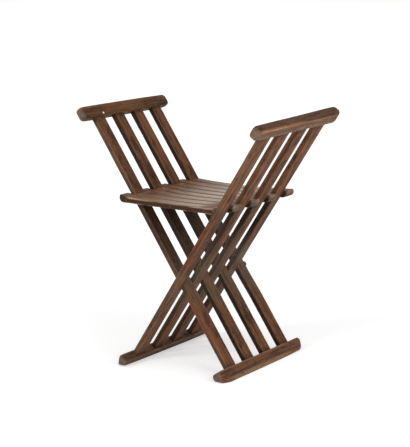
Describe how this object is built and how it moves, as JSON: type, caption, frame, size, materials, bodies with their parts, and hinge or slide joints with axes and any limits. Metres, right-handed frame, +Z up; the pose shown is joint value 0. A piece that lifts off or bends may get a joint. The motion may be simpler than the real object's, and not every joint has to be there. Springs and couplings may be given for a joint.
{
  "type": "folding stool",
  "caption": "Folding wooden stool: slatted frames interlaced on a pivot rod cross like scissors under a hinged slat seat, with straight arm rails above and runner feet below.",
  "frame": {"origin": "on the floor under the main pivot, at the centre of the bounding box's base", "axes": "+Z up, -Y the front, +X from the left arm to the right arm"},
  "size_m": [0.6218, 0.3952, 0.6645],
  "materials": {
    "walnut_legs": "worn wax",
    "walnut_rails": "worn wax",
    "walnut_seat": "rubbed, paler than the frame",
    "walnut_pegs": "worn wax",
    "iron": "dark, forged"
  },
  "bodies": {
    "left_frame": {"left_arm_rail": "walnut_rails", "right_foot_rail": "walnut_rails", "main_pivot_rod": "iron", "left_seat_rod": "iron", "left_leg_slat_1": "walnut_legs", "left_leg_slat_2": "walnut_legs", "left_leg_slat_3": "walnut_legs", "left_leg_slat_4": "walnut_legs", "left_arm_rail_peg_1": "walnut_pegs", "left_arm_rail_peg_2": "walnut_pegs", "left_arm_rail_peg_3": "walnut_pegs", "left_arm_rail_peg_4": "walnut_pegs", "right_foot_rail_peg_1": "walnut_pegs", "right_foot_rail_peg_2": "walnut_pegs", "right_foot_rail_peg_3": "walnut_pegs", "right_foot_rail_peg_4": "walnut_pegs"},
    "right_frame": {"right_arm_rail": "walnut_rails", "left_foot_rail": "walnut_rails", "right_seat_rod": "iron", "right_leg_slat_1": "walnut_legs", "right_leg_slat_2": "walnut_legs", "right_leg_slat_3": "walnut_legs", "right_leg_slat_4": "walnut_legs", "right_arm_rail_peg_1": "walnut_pegs", "right_arm_rail_peg_2": "walnut_pegs", "right_arm_rail_peg_3": "walnut_pegs", "right_arm_rail_peg_4": "walnut_pegs", "left_foot_rail_peg_1": "walnut_pegs", "left_foot_rail_peg_2": "walnut_pegs", "left_foot_rail_peg_3": "walnut_pegs", "left_foot_rail_peg_4": "walnut_pegs"},
    "left_seat": {"left_seat_slat_1": "walnut_seat", "left_seat_slat_2": "walnut_seat", "left_seat_slat_3": "walnut_seat", "left_seat_slat_4": "walnut_seat", "left_centre_pin_1": "iron", "left_centre_pin_2": "iron", "left_centre_pin_3": "iron", "left_centre_pin_4": "iron"},
    "right_seat": {"right_seat_slat_1": "walnut_seat", "right_seat_slat_2": "walnut_seat", "right_seat_slat_3": "walnut_seat", "right_seat_slat_4": "walnut_seat", "right_centre_pin_1": "iron", "right_centre_pin_2": "iron", "right_centre_pin_3": "iron", "right_centre_pin_4": "iron"}
  },
  "joints": [
    {"name": "fold", "type": "hinge", "parent": "left_frame", "child": "right_frame", "pos_m": [0, 0, 0.221], "axis": [0, -1, 0], "range_deg": [0, 59.2]},
    {"name": "left_seat_hinge", "type": "hinge", "parent": "left_frame", "child": "left_seat", "pos_m": [-0.14694, 0, 0.434], "axis": [0, -1, 0], "range_deg": [0, 110.79]},
    {"name": "right_seat_hinge", "type": "hinge", "parent": "right_frame", "child": "right_seat", "pos_m": [0.14694, 0, 0.434], "axis": [0, 1, 0], "range_deg": [0, 110.79]}
  ],
  "couplings": [
    {"joint": "left_seat_hinge", "follows": "fold", "ratio": 1.8711},
    {"joint": "right_seat_hinge", "follows": "fold", "ratio": 1.8711}
  ]
}
